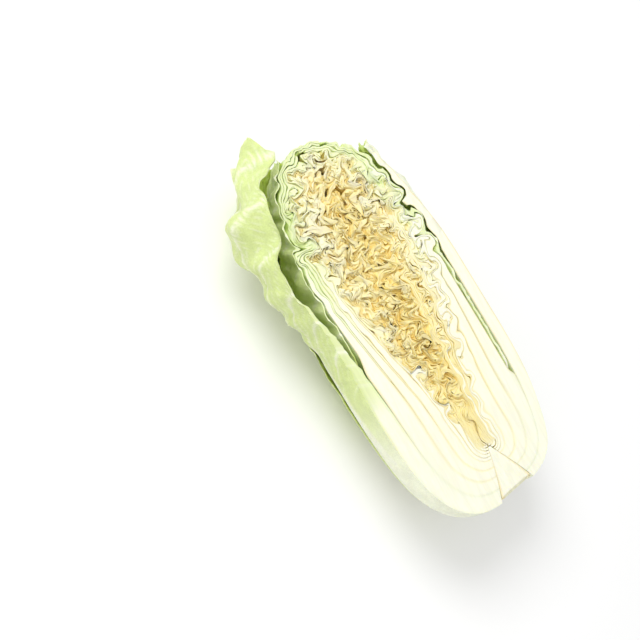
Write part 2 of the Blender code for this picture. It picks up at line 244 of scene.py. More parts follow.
def make_scale_table():
    """The nest's scale by distance from the axis and height, in steps of TABLE_STEP, by halving."""
    across, height = np.meshgrid(np.arange(90) * TABLE_STEP, np.arange(320) * TABLE_STEP, indexing="ij")
    low, high = np.zeros_like(across), np.full_like(across, 1.6)
    for _ in range(14):
        scale = (low + high) / 2
        top = 1.0 - TOP_DROP * (1.0 - scale)
        above = CORE_HEIGHT + (height - CORE_HEIGHT) / top
        stretch = blend(np.maximum(scale, 0.05), top, smooth(CORE_HEIGHT, CORE_HEIGHT + STRETCH_REACH, above))
        above = CORE_HEIGHT + (height - CORE_HEIGHT) / stretch
        outside = np.where(above > HEAD_LENGTH, 0.0, scale * np.interp(above, HEIGHT, RADIUS)) < across
        outside |= above > HEAD_LENGTH
        low, high = np.where(outside, scale, low), np.where(outside, high, scale)
    return (low + high) / 2


TABLE_STEP = 0.001
SCALE_TABLE = make_scale_table()


def nest_scale(points):
    """Which scale of the nest a point lies at, about."""
    across = np.hypot(points[..., 0] - axis_lean(points[..., 1]), points[..., 2] * HEAD_RADIUS / HEAD_DEPTH)
    row = np.clip(across / TABLE_STEP, 0.0, SCALE_TABLE.shape[0] - 1.01)
    column = np.clip(points[..., 1] / TABLE_STEP, 0.0, SCALE_TABLE.shape[1] - 1.01)
    i, j = row.astype(int), column.astype(int)
    u, v = row - i, column - j
    near = blend(SCALE_TABLE[i, j], SCALE_TABLE[i + 1, j], u)
    return blend(near, blend(SCALE_TABLE[i, j + 1], SCALE_TABLE[i + 1, j + 1], u), v)


# White ribs that stand up into the heart: side, the scale of the nest at their foot and tip, and the
# share of the head's length that they reach
STANDING_RIBS = (
    (-1, 0.20, 0.81, 0.70),
    (-1, 0.00, 0.79, 0.74),
    (1, -0.05, 0.62, 0.76),
    (1, -0.01, 0.28, 0.62),
)


def crumple_zone(points, onset=0.30):
    """How strongly the flow works at a point: fully in the heart, and not at all in stalks and outside."""
    height = points[..., 1] / HEAD_LENGTH
    scale = nest_scale(points)
    start = 0.06 + 0.48 * smooth(0.05, 0.85, scale)
    limit = blend(0.76, 0.60, smooth(0.78, 0.93, height))
    inside = 1.0 - smooth(limit, limit + 0.20, scale)
    rind = 0.22 * (1.0 - smooth(0.90, 0.99, scale))
    zone = smooth(start, start + onset, height) * np.maximum(inside, rind)
    calm = np.zeros_like(zone)
    for side, foot, tip, reach in STANDING_RIBS:
        off = (scale - blend(foot, tip, height / reach)) / 0.050
        here = np.exp(-(off**2)) * (1.0 - smooth(reach - 0.05, reach + 0.03, height))
        calm = np.maximum(calm, here * (side * points[..., 0] > -0.004))
    return zone * (1.0 - 0.92 * calm)


class Flow:
    """A swirling flow in the plane of the cut that carries neighbouring leaves along together.

    shortest and longest are the lengths of its waves and reach is how far it carries a point, in
    metres. It sets in over onset of the head's length, and fades over depth metres below the cut.
    """

    STEPS = 8

    def __init__(self, seed, shortest, longest, reach, onset, depth=1.0):
        draw = np.random.default_rng(seed)
        count = 18
        length = np.exp(draw.uniform(math.log(shortest), math.log(longest), count))
        angle = draw.uniform(0.0, 2.0 * math.pi, count)
        wave = 2.0 * math.pi / length
        dip = 0.85 * wave * draw.uniform(-1.0, 1.0, count)
        self.waves = np.stack([wave * np.cos(angle), wave * np.sin(angle), dip], axis=-1)
        self.drift = np.stack([np.sin(angle), -np.cos(angle)], axis=-1) * math.sqrt(2.0 / count)
        self.phase = draw.uniform(0.0, 2.0 * math.pi, count)
        self.reach = reach
        self.onset = onset
        self.depth = depth

    def carry(self, points):
        points = points.copy()
        fade = np.exp(np.minimum(points[..., 2], 0.0) / self.depth)
        for _ in range(self.STEPS):
            speed = np.cos(points @ self.waves.T + self.phase) @ self.drift
            strength = crumple_zone(points, self.onset) * fade * (self.reach / self.STEPS)
            points[..., :2] += speed * strength[..., None]
        return points


SWIRLS = Flow(seed=5, shortest=0.014, longest=0.034, reach=0.0062, onset=0.20)
CURLS = Flow(seed=8, shortest=0.0055, longest=0.012, reach=0.0020, onset=0.42)
# The blades' edges lean over near the cut, patch by patch.
LEANS = Flow(seed=12, shortest=0.010, longest=0.022, reach=0.0028, onset=0.24, depth=0.0035)


def crumple(points):
    return LEANS.carry(CURLS.carry(SWIRLS.carry(points)))


@dataclass
class Leaf:
    """One leaf, or one fold of a leaf, in its layer of the nest.

    cut and seam are the azimuths of its two edges, and start and end its reach along the head.
    rib is where along the head its rib thins out, and rib_width the same round the head, in degrees.
    fill is how much of the layer's room the rib takes up, and rough is where the blade starts to wave.
    relief is how far the edge rises and falls at the cut, in metres, and deep names the colour of the
    painted shade in its depths below the cut. packed is how far its blade fills its room at the top.
    across is how many columns of points lie across its cut edge.
    """

    layer: int
    cut: float
    seam: float
    slide: float
    rib: tuple
    fill: float
    folds: int
    seed: int
    relief: float
    deep: str
    across: int
    start: float = 0.0003
    end: float = 0.992
    fold: int = 0
    rib_width: tuple = (15.0, 55.0)
    rough: tuple = (0.38, 0.60)
    waves: float = 11.0
    packed: float = 0.0


# How far an inner fold reaches round the head from the cut, in degrees
FOLD_TURN = 22.0

# Where along the head the inner back leaf starts to widen, and where it reaches the cut on each side
LEFT_REACH = (0.16, 0.50)
RIGHT_REACH = (0.16, 0.32)

# The grids of points: each leaf's rows at the cut and how far below the cut its columns lie, in
# metres, how finely its edge is followed, rows and columns of the others, and what counts as one point
ROW_SPACING = 0.0011
DEPTHS = (0.0, 0.0008, 0.0017, 0.0028, 0.0044, 0.0070, 0.0120, 0.023, 0.042, 0.075)
EDGE_SAMPLES = 2400
WRAPPER_ROWS = 240
BACK_GRID = (160, 81)
CORE_GRID = (25, 49)
MERGE_DISTANCE = 0.00002


def leaf_thickness():
    return bpy.context.scene.napa_shape.blade


def layer_gap(along):
    """The gap between leaves: a hair at the butt, where stalks grow together, and wider above."""
    return blend(0.0003, 0.005, smooth(0.18, 0.50, along))


def beside_back_leaf(along, azimuth):
    """1 where the inner back leaf leaves its layer free beside the cut, and 0 where it fills it."""
    spans = np.where(azimuth < UNDERSIDE, LEFT_REACH[1], RIGHT_REACH[1])
    edge = 90.0 - blend(34.0, 90.0, smooth(LEFT_REACH[0], spans, along))
    return smooth(0.0, 9.0, edge - from_cut(azimuth) - 1.0)


def pressed(leaf, along, angle):
    """How far a leaf is pressed against its neighbours: deep down, and in the outer folds also at the top."""
    depth = np.radians(angle) * np.interp(along, SHARE, RADIUS)
    return np.maximum(leaf.packed * smooth(0.62, 0.84, along), blend(0.80, 1.0, smooth(0.0, 0.0013, depth)))


def leaf_scales(leaf, along, azimuth, angle):
    """Outer and inner scale of a leaf, and how much of its layer its rib fills."""
    gap = layer_gap(along)
    bounds = layer_bounds(along, azimuth)
    outside = bounds[leaf.layer] - gap / 2
    if leaf.layer == SIDE_2:
        outside = blend(outside, bounds[BACK_INNER] - gap / 2, beside_back_leaf(along, azimuth))
    room = outside - bounds[leaf.layer + 1] - gap / 2
    rib = leaf.fill * (1.0 - smooth(*leaf.rib_width, angle)) * (1.0 - smooth(*leaf.rib, along))
    # Where the rib has thinned out, the folds of a leaf share its room.
    free = (1.0 - rib) / leaf.folds
    space = room * (free if leaf.fold else 1.0 - free * (leaf.folds - 1))
    top = outside - (room * (1.0 - free * (leaf.folds - leaf.fold)) if leaf.fold else 0.0)
    blade = leaf_thickness() / HEAD_RADIUS
    blade = blend(blade, 0.92 * space, pressed(leaf, along, angle))
    most = 1.0 - 0.06 * (1.0 - rib)
    thickness = np.minimum(blade if leaf.fold else blend(blade, room, rib), most * space)
    wave = 0.45 * ruffle(along, azimuth, leaf.waves, leaf.seed)
    wave = wave + 0.75 * crinkle(along, azimuth, leaf.seed + 400)
    wave = np.clip(1.25 * wave, -1.0, 1.0) * smooth(*leaf.rough, along)
    outer = top - (space - thickness) * (0.5 + 0.5 * wave)
    return outer, outer - thickness, rib


def grid_normals(points):
    normals = np.cross(np.gradient(points, axis=0), np.gradient(points, axis=1))
    length = np.linalg.norm(normals, axis=-1, keepdims=True)
    return normals / np.maximum(length, 1e-9)


def thinness(rib):
    """1 in a leaf's blade and 0 in its rib."""
    return 1.0 - smooth(0.02, 0.20, rib)


def thicken(outer, inner, rib, most):
    """Gives the crumpled blade its even thickness again. Ribs keep the faces that they have."""
    middle = (outer + inner) / 2
    normals = grid_normals(middle)
    normals[:, 0, 2] = 0.0
    normals /= np.maximum(np.linalg.norm(normals, axis=-1, keepdims=True), 1e-9)
    normals *= np.sign(np.median((normals * (outer - inner)).sum(axis=-1)))
    half = np.minimum(leaf_thickness(), 1.1 * np.linalg.norm(outer - inner, axis=-1, keepdims=True)) / 2
    thin = (most * thinness(rib))[..., None]
    return blend(outer, middle + normals * half, thin), blend(inner, middle - normals * half, thin)


def swell(points, seed, shortest, longest):
    """A smooth rise and fall over the cut, between about -1 and 1."""
    draw = np.random.default_rng(seed)
    total = 0.0
    for _ in range(7):
        length = math.exp(draw.uniform(math.log(shortest), math.log(longest)))
        angle = draw.uniform(0.0, 2.0 * math.pi)
        where = points[..., 0] * math.cos(angle) + points[..., 1] * math.sin(angle)
        total = total + np.sin(2.0 * math.pi * where / length + draw.uniform(0.0, 6.28))
    return total / 7**0.5


def edge_relief(middle, leaf, rib):
    """How far a leaf's edge stands above or lies below the cut, in metres, fading with depth."""
    shared, own = swell(middle, 77, 0.006, 0.016), swell(middle, leaf.seed + 900, 0.005, 0.015)
    rise = 0.85 * shared + 0.35 * own - 0.25
    rise = leaf.relief * rise * crumple_zone(middle) * (1.0 - smooth(0.05, 0.30, rib))
    fade = np.exp(np.minimum(middle[..., 2], 0.0) / 0.008)
    most = np.where(rise > 0.0, 0.0014, 0.0019)
    # The last term keeps the cut faces of neighbours out of one plane.
    return most * np.tanh(rise / most) * fade - 0.00002 * (leaf.seed % 13)


def even_rows(leaf, start, end):
    """Rows of along at even steps of the leaf's crumpled edge."""
    along = np.linspace(start, end, EDGE_SAMPLES)
    azimuth = np.full_like(along, leaf.cut)
    outer, inner, rib = leaf_scales(leaf, along, azimuth, np.zeros_like(along))
    points = place((outer + inner) / 2, along, azimuth, leaf.slide)
    points[..., 2] += edge_relief(points, leaf, rib)
    points = crumple(points)
    length = np.concatenate([[0.0], np.cumsum(np.linalg.norm(np.diff(points, axis=0), axis=-1))])
    steps = max(int(length[-1] / ROW_SPACING), 12)
    return np.interp(np.linspace(0.0, length[-1], steps + 1), length, along)


def leaf_columns(leaf):
    """Azimuths of a leaf's columns, from its cut edge to its seam, close together near the cut."""
    reach = abs(leaf.seam - leaf.cut)
    scale = float(layer_bounds(np.array(0.5), np.array(leaf.cut))[leaf.layer])
    turns = np.degrees(np.array(DEPTHS) / (scale * HEAD_RADIUS))
    turns = np.append(turns[turns < reach - 2.0], reach)
    return leaf.cut + inward_from(leaf.cut) * turns


# The colours of the blades, from the axis outwards, and the scales that they belong to
BLADE_TONES = ("heart_deep", "heart", "heart_pale", "cream", "pale_green", "leaf_green")
BLADE_SCALES = (0.00, 0.28, 0.48, 0.62, 0.80, 0.96)


def blade_tint(scale):
    """The colour of a leaf's blade: yellow in the heart and greener outwards."""
    tones = bpy.context.scene.napa_colours
    bands = zip(*(getattr(tones, name) for name in BLADE_TONES))
    return np.stack([np.interp(scale, BLADE_SCALES, band) for band in bands], axis=-1)


def leaf_tint(scale, along, rib):
    """The colour of a side leaf or heart leaf, white in its rib and towards the butt."""
    tones = bpy.context.scene.napa_colours
    white = blend(np.array(tones.heart_rib), np.array(tones.rib_white), smooth(0.45, 0.75, scale)[..., None])
    ribness = np.maximum(smooth(0.05, 0.45, rib), 0.9 * (1.0 - smooth(0.14, 0.31, along)))[..., None]
    return blend(blade_tint(scale), white, ribness)


def leaf_blank(name, rows, columns):
    """A flat two-sided sheet of rows by columns, whose points are then moved to the leaf's place."""
    bpy.ops.object.select_all(action="DESELECT")
    bpy.ops.mesh.primitive_grid_add(x_subdivisions=columns - 1, y_subdivisions=rows - 1, size=1.0)
    sheet = bpy.context.object
    sheet.name = name
    sheet.data.name = name
    bpy.ops.object.modifier_add(type="SOLIDIFY")
    sheet.modifiers[-1].thickness = 0.1
    bpy.ops.object.modifier_apply(modifier=sheet.modifiers[-1].name)
    return sheet


def edit_whole_mesh(*steps):
    """Runs mesh operators on everything in the active sheet."""
    bpy.ops.object.mode_set(mode="EDIT")
    bpy.ops.mesh.select_all(action="SELECT")
    for step, settings in steps:
        step(**settings)
    bpy.ops.object.mode_set(mode="OBJECT")


def turn_outward(sheet):
    """Turns a closed sheet's faces outward, which its volume tells, and shades it smooth."""
    mesh = sheet.data
    mesh.calc_loop_triangles()
    corners = np.empty(3 * len(mesh.loop_triangles), dtype=np.int32)
    mesh.loop_triangles.foreach_get("vertices", corners)
    points = np.empty(3 * len(mesh.vertices))
    mesh.vertices.foreach_get("co", points)
    first, second, third = points.reshape(-1, 3)[corners].reshape(-1, 3, 3).transpose(1, 0, 2)
    if (first * np.cross(second, third)).sum() < 0.0:
        edit_whole_mesh((bpy.ops.mesh.flip_normals, {}))
    bpy.ops.object.shade_smooth_by_angle(angle=math.radians(55.0))


def shape_sheet(name, outer, inner, tint, marks, cut_columns, across=0):
    """A closed leaf between two grids of points. marks are (across, rib, vein) at each point.

    Its edges at cut_columns are cut, and so are the first across columns of the outer grid.
    """
    rows, columns = outer.shape[:2]
    sheet = leaf_blank(name, rows, columns)
    mesh = sheet.data
    points = np.concatenate([outer.reshape(-1, 3), inner.reshape(-1, 3)]) + HEAD_ORIGIN
    mesh.vertices.foreach_set("co", points.astype(np.float32).ravel())
    colours = np.concatenate([tint[0].reshape(-1, 3), tint[1].reshape(-1, 3)])
    colours = np.hstack([colours, np.ones((len(colours), 1))])
    mesh.color_attributes.new("tint", "FLOAT_COLOR", "POINT").data.foreach_set("color", colours.ravel())
    marked = np.concatenate([marks[0].reshape(-1, 3), marks[1].reshape(-1, 3)])
    mesh.attributes.new("marks", "FLOAT_VECTOR", "POINT").data.foreach_set("vector", marked.ravel())
    cut_ends = {column % columns for column in cut_columns}
    for face in mesh.polygons[2 * (rows - 1) * (columns - 1):]:
        ends = {vertex % (rows * columns) % columns for vertex in face.vertices}
        if len(ends) == 1 and ends <= cut_ends:
            face.material_index = 1
    for face in mesh.polygons[: (rows - 1) * (columns - 1) if across else 0]:
        if min(vertex % columns for vertex in face.vertices) < across:
            face.material_index = 1
    mesh.update()
    turn_outward(sheet)
    return sheet


def marks_of(rib, vein=0.0):
    """The marks of both faces: across is 0 outside and 1 inside."""
    flat = np.zeros_like(rib)
    vein = flat + vein
    return np.stack([flat, rib, vein], axis=-1), np.stack([flat + 1.0, rib, vein], axis=-1)


def across_cut(leaf, along, scales, faces, rib, tints):
    """Adds points across a leaf's thick cut edge, so that its cut face follows the flow."""
    count = leaf.across
    share = 1.0 - np.arange(1, count + 1) / (count + 1.0)
    scale = blend(scales[0][:, :1], scales[1][:, :1], share)
    rows = np.repeat(along[:, :1], count, axis=1)
    bent = crumple(place(scale, rows, np.full_like(rows, leaf.cut), leaf.slide))
    level = share[None, :, None]
    straight = blend(faces[0][:, :1], faces[1][:, :1], level)
    thin = thinness(rib[:, :1])[..., None]
    outer = np.concatenate([blend(bent, straight, thin), faces[0]], axis=1)
    tint = np.concatenate([blend(tints[0][:, :1], tints[1][:, :1], level), tints[0]], axis=1)
    steps = (np.arange(1, count + 1) / (count + 1.0))[None, :, None]
    inner, inner_tint = (
        np.concatenate([grid[:, :1], blend(grid[:, :1], grid[:, 1:2], steps), grid[:, 1:]], axis=1)
        for grid in (faces[1], tints[1])
    )
    ribs = np.concatenate([np.repeat(rib[:, :1], count, axis=1), rib], axis=1)
    marks = marks_of(ribs)
    marks[0][:, :count, 0] = share
    return (outer, inner), (tint, inner_tint), marks


def make_fold(name, leaf):
    """One side leaf or heart leaf, or one of its inner folds, crumpled and closed."""
    rows = even_rows(leaf, leaf.start, leaf.end)
    along, azimuth = np.meshgrid(rows, leaf_columns(leaf), indexing="ij")
    angle = np.abs(azimuth - leaf.cut)
    outer_scale, inner_scale, rib = leaf_scales(leaf, along, azimuth, angle)
    smoothed = [place(scale, along, azimuth, leaf.slide) for scale in (outer_scale, inner_scale)]
    # The edges are raised before the leaf crumples, so that neighbours still lie side by side.
    lift = edge_relief((smoothed[0] + smoothed[1]) / 2, leaf, rib)
    for face in smoothed:
        face[..., 2] += lift
    faces = thicken(*map(crumple, smoothed), rib, 0.8 * (1.0 - pressed(leaf, along, angle)))
    if leaf.fold:
        rib = np.zeros_like(rib)
    tints = [leaf_tint(scale, along, rib) for scale in (outer_scale, inner_scale)]
    marks = marks_of(rib)
    if leaf.across:
        faces, tints, marks = across_cut(leaf, along, (outer_scale, inner_scale), faces, rib, tints)
    sheet = shape_sheet(name, *faces, tints, marks, (0,), leaf.across)
    return dress(sheet, leaf_materials(leaf.deep))


def join(name, sheets):
    bpy.ops.object.select_all(action="DESELECT")
    for sheet in sheets:
        sheet.select_set(True)
    bpy.context.view_layer.objects.active = sheets[0]
    if len(sheets) > 1:
        bpy.ops.object.join()
    sheets[0].name = name
    return sheets[0]


def dress(piece, materials):
    for material in materials:
        piece.data.materials.append(material)
    return piece


def finish_piece(piece, node):
    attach(piece, BODY)
    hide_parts(node)
    return piece


def core_rings(scales, azimuth, inset=CORE_INSET, gap=BUTT_GAP):
    """The stump's rings, as its solid has them but with a round outline."""
    rings = []
    for scale in scales:
        ring = place(scale * inset, 0.0, azimuth)
        ring[:, 1] = blend(CORE_HEIGHT, float(HEIGHT[0]), scale) - gap
        rings.append(slanted(ring))
    return np.stack(rings)


def find_origin():
    """Where the head's own origin lies in the frame, from the core's box and the same core here."""
    low, high = (np.array(corner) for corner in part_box("core"))
    rings = core_rings(CORE_SCALES, np.array([LEFT_CUT, RIGHT_CUT])).reshape(-1, 3)
    origin = (low + high) / 2 - (rings.min(axis=0) + rings.max(axis=0)) / 2
    origin[2] = high[2]
    return origin


HEAD_ORIGIN = find_origin()


# Light inside the leaves: how far each colour spreads, and over how many metres
LEAF_IOR = 1.42
GLOW_SPREAD = (1.0, 0.85, 0.35)
GLOW_REACH = 0.0009
# The depths below the cut, in metres, over which a leaf's colour turns to painted shade, and how far it turns
PAINTED_SHADE_DEPTHS = (0.0003, 0.0026)
PAINTED_SHADE_MOST = 0.85


def add_node(tree, kind, **settings):
    node = tree.nodes.new(kind)
    for key, value in settings.items():
        setattr(node, key, value)
    return node


def ramp(tree, source, low, high, out_low=0.0, out_high=1.0):
    """A smooth rise of source between low and high."""
    step = add_node(tree, "ShaderNodeMapRange", interpolation_type="SMOOTHSTEP")
    tree.links.new(source, step.inputs["Value"])
    for name, value in (("From Min", low), ("From Max", high), ("To Min", out_low), ("To Max", out_high)):
        step.inputs[name].default_value = value
    return step.outputs["Result"]


def noise(tree, scale, detail=2.0, stretch=(1.0, 1.0, 1.0)):
    """Noise on Object coordinates, scale in waves a metre."""
    where = add_node(tree, "ShaderNodeTexCoord")
    mapping = add_node(tree, "ShaderNodeMapping")
    mapping.inputs["Scale"].default_value = stretch
    texture = add_node(tree, "ShaderNodeTexNoise")
    texture.inputs["Scale"].default_value = scale
    texture.inputs["Detail"].default_value = detail
    tree.links.new(where.outputs["Object"], mapping.inputs["Vector"])
    tree.links.new(mapping.outputs["Vector"], texture.inputs["Vector"])
    return texture.outputs["Fac"]


def feed(tree, socket, value):
    """Sets an input to another node's output, a number or a colour."""
    if isinstance(value, bpy.types.NodeSocket):
        tree.links.new(value, socket)
    elif isinstance(value, (int, float)):
        socket.default_value = value
    else:
        socket.default_value = (*value, 1.0)


def mix_colour(tree, factor, first, second, mode="MIX"):
    mix = add_node(tree, "ShaderNodeMix", data_type="RGBA", blend_type=mode)
    for socket, value in ((mix.inputs[0], factor), (mix.inputs[6], first), (mix.inputs[7], second)):
        feed(tree, socket, value)
    return mix.outputs[2]


def math_node(tree, operation, first, second):
    node = add_node(tree, "ShaderNodeMath", operation=operation)
    for socket, value in zip(node.inputs, (first, second)):
        feed(tree, socket, value)
    return node.outputs[0]


def split_vector(tree, vector):
    """The X, Y and Z outputs of a vector."""
    split = add_node(tree, "ShaderNodeSeparateXYZ")
    tree.links.new(vector, split.inputs["Vector"])
    return split.outputs


def object_axis(tree, axis):
    return split_vector(tree, add_node(tree, "ShaderNodeTexCoord").outputs["Object"])[axis]


def leaf_marks(tree):
    """A leaf's marks: X across its thickness, Y its rib and Z its veins."""
    marks = add_node(tree, "ShaderNodeAttribute", attribute_name="marks")
    return split_vector(tree, marks.outputs["Vector"])


def depth_below_cut(tree):
    """How far a point lies below the plane of the cut, in metres."""
    return math_node(tree, "SUBTRACT", float(HEAD_ORIGIN[2]), object_axis(tree, "Z"))


def height_above_butt(tree):
    """How far a point lies above the core's foot, in metres."""
    return math_node(tree, "SUBTRACT", object_axis(tree, "Y"), float(HEAD_ORIGIN[1]))


def painted_shade_share(tree):
    """How far the colour turns to painted shade in the crevices, by the depth below the cut."""
    return ramp(tree, depth_below_cut(tree), *PAINTED_SHADE_DEPTHS, 0.0, PAINTED_SHADE_MOST)


# Painted shade: mixes in the colour multiplied by the deeper tone, by share.
def paint_depth_shade(tree, colour, share, deep):
    return mix_colour(tree, share, colour, mix_colour(tree, 1.0, colour, deep, "MULTIPLY"))


def new_material(name, roughness, glow):
    material = bpy.data.materials.new(name)
    material.use_nodes = True
    shader = material.node_tree.nodes["Principled BSDF"]
    shader.inputs["Roughness"].default_value = roughness
    shader.inputs["IOR"].default_value = LEAF_IOR
    shader.inputs["Subsurface Weight"].default_value = glow
    shader.inputs["Subsurface Radius"].default_value = GLOW_SPREAD
    shader.inputs["Subsurface Scale"].default_value = GLOW_REACH
    return material, material.node_tree, shader


def add_bump(tree, shader, height, strength, distance):
    bump = add_node(tree, "ShaderNodeBump")
    bump.inputs["Strength"].default_value = strength
    bump.inputs["Distance"].default_value = distance
    tree.links.new(height, bump.inputs["Height"])
    tree.links.new(bump.outputs["Normal"], shader.inputs["Normal"])


def blade_material(name, deep, outermost):
    """Leaf skin: its tint with fine blotches, and painted shade in a deeper colour down between the leaves.
    """
    material, tree, shader = new_material(name, 0.42, 0.25)
    tint = add_node(tree, "ShaderNodeAttribute", attribute_name="tint")
    blotch = ramp(tree, noise(tree, 110.0, 3.0), 0.35, 0.70, 0.94, 1.03)
    speck = ramp(tree, noise(tree, 900.0, 2.0), 0.30, 0.70, 0.94, 1.03)
    shade = math_node(tree, "MULTIPLY", blotch, speck)
    colour = mix_colour(tree, 1.0, tint.outputs["Color"], shade, "MULTIPLY")
    # Painted shade: below the cut the colour deepens, on the outer leaves only on their inner faces.
    painted_shade = painted_shade_share(tree)
    if outermost:
        painted_shade = math_node(tree, "MULTIPLY", painted_shade, leaf_marks(tree)["X"])
    tree.links.new(paint_depth_shade(tree, colour, painted_shade, deep), shader.inputs["Base Color"])
    add_bump(tree, shader, noise(tree, 1300.0, 3.0), 0.5, 0.0004)
    return material


def flesh_material(name, deep):
    """Cut leaf: moist and pale, with a fine line of the leaf's own colour along each edge."""
    material, tree, shader = new_material(name, 0.30, 0.25)
    tones = bpy.context.scene.napa_colours
    tint = add_node(tree, "ShaderNodeAttribute", attribute_name="tint")
    marks = leaf_marks(tree)
    edge = math_node(tree, "MINIMUM", marks["X"], math_node(tree, "SUBTRACT", 1.0, marks["X"]))
    inside = ramp(tree, edge, 0.02, 0.20, 0.20, 0.90)
    inside = math_node(tree, "MULTIPLY", inside, ramp(tree, marks["Y"], 0.0, 0.35, 0.25, 1.0))
    colour = mix_colour(tree, inside, tint.outputs["Color"], tones.cut_flesh)
    # Painted shade: cut faces that lie below the cut turn to the deeper colour, in the blades but not the
    # ribs.
    painted_shade = math_node(tree, "MULTIPLY", painted_shade_share(tree), ramp(tree, marks["Y"], 0.1, 0.4, 1.0, 0.0))
    colour = paint_depth_shade(tree, colour, painted_shade, deep)
    # Near the butt the stalks have grown together, and the lines between them fade.
    line = ramp(tree, edge, 0.0, 0.13, 0.70, 0.0)
    line = math_node(tree, "MULTIPLY", line, ramp(tree, marks["Y"], 0.2, 0.7))
    line = math_node(tree, "MULTIPLY", line, ramp(tree, height_above_butt(tree), 0.035, 0.120, 0.06, 1.0))
    colour = mix_colour(tree, line, colour, tones.edge_line)
    streak = ramp(tree, noise(tree, 420.0, 3.0, (1.0, 0.10, 1.0)), 0.35, 0.65, 0.95, 1.02)
    colour = mix_colour(tree, 1.0, colour, streak, "MULTIPLY")
    tree.links.new(colour, shader.inputs["Base Color"])
    add_bump(tree, shader, noise(tree, 700.0, 3.0, (1.0, 0.16, 1.0)), 0.4, 0.0003)
    return material


def core_material(name):
    """The cut core: the same white flesh, with a faint yellow rim and a few fibres."""
    material, tree, shader = new_material(name, 0.34, 0.35)
    tones = bpy.context.scene.napa_colours
    rim = ramp(tree, leaf_marks(tree)["Z"], 0.80, 1.0, 0.0, 0.55)
    colour = mix_colour(tree, rim, tones.cut_flesh, tones.edge_line)
    fibre = ramp(tree, noise(tree, 500.0, 3.0, (1.0, 0.15, 1.0)), 0.40, 0.65, 0.94, 1.02)
    colour = mix_colour(tree, 1.0, colour, fibre, "MULTIPLY")
    tree.links.new(colour, shader.inputs["Base Color"])
    add_bump(tree, shader, noise(tree, 700.0, 3.0, (1.0, 0.2, 1.0)), 0.4, 0.0003)
    return material


def shared_material(name, make, *values):
    """The material of this name, made once."""
    return bpy.data.materials.get(name) or make(name, *values)


def leaf_materials(deep_name, outermost=False):
    tones = bpy.context.scene.napa_colours
    # The deeper tone is the colour of the painted shade below the cut.
    deep = getattr(tones, deep_name)
    name = "leaf_skin" if outermost else f"leaf_{deep_name}"
    return (
        shared_material(name, blade_material, tuple(deep), outermost),
        shared_material(f"flesh_{deep_name}", flesh_material, tuple(deep)),
    )


def shape_property(kind, name, description, default, low, high, **more):
    return kind(name=name, description=description, default=default, min=low, max=high, **more)


LENGTH = {"unit": "LENGTH", "precision": 5}


class NapaShape(bpy.types.PropertyGroup):
    """Sizes of the fine leaves."""

    blade: shape_property(FloatProperty, "Blade", "Thickness of a blade", 0.0008, 0.0003, 0.0013, **LENGTH)
    side_folds: shape_property(IntProperty, "Side folds", "Folds of a side leaf in its layer", 2, 1, 3)
    heart_folds: shape_property(IntProperty, "Heart folds", "Folds of a heart leaf in its layer", 4, 1, 5)
    vein_height: shape_property(
        FloatProperty, "Vein height", "How far the veins stand out", 0.0009, 0.0, 0.0015, **LENGTH
    )


def colour_property(name, description, default):
    return FloatVectorProperty(
        name=name, description=description, subtype="COLOR", size=3, min=0.0, max=1.0, default=default
    )


class NapaColours(bpy.types.PropertyGroup):
    """Colours of the leaves, as linear red, green and blue."""

    rib_white: colour_property("Rib", "White ribs of the outer leaves", (0.88, 0.90, 0.70))
    heart_rib: colour_property("Heart rib", "Cream ribs of the heart", (0.95, 0.88, 0.56))
    cut_flesh: colour_property("Cut flesh", "The inside of a cut stalk", (0.93, 0.92, 0.75))
    edge_line: colour_property("Edge line", "The line between two stalks at the cut", (0.80, 0.63, 0.24))
    leaf_green: colour_property("Leaf green", "Blades of the outer leaves", (0.65, 0.75, 0.30))
    pale_green: colour_property("Pale green", "Blades under the outer leaves", (0.76, 0.85, 0.44))
    cream: colour_property("Cream", "Blades round the heart", (0.92, 0.89, 0.56))
    heart_pale: colour_property("Pale heart", "Outer leaves of the heart", (0.96, 0.87, 0.50))
    heart: colour_property("Heart", "Middle leaves of the heart", (0.96, 0.82, 0.37))
    heart_deep: colour_property("Deep heart", "Innermost leaves of the heart", (0.96, 0.77, 0.26))
    # amber is painted shade in the heart's crevices, warmed the way light glows through the thin leaves
    # there.
    amber: colour_property("Amber", "Tints the depths of the heart", (0.98, 0.82, 0.40))
    # moss is painted shade in the crevices between the green leaves.
    moss: colour_property("Moss", "Tints the depths between green leaves", (0.72, 0.84, 0.38))
    # olive is painted shade on the inner faces of the outer leaves, below the cut.
    olive: colour_property("Olive", "Tints the inner faces of the outer leaves", (0.74, 0.84, 0.30))
    floor: colour_property("Floor", "The surface the half head lies on", (0.95, 0.95, 0.95))


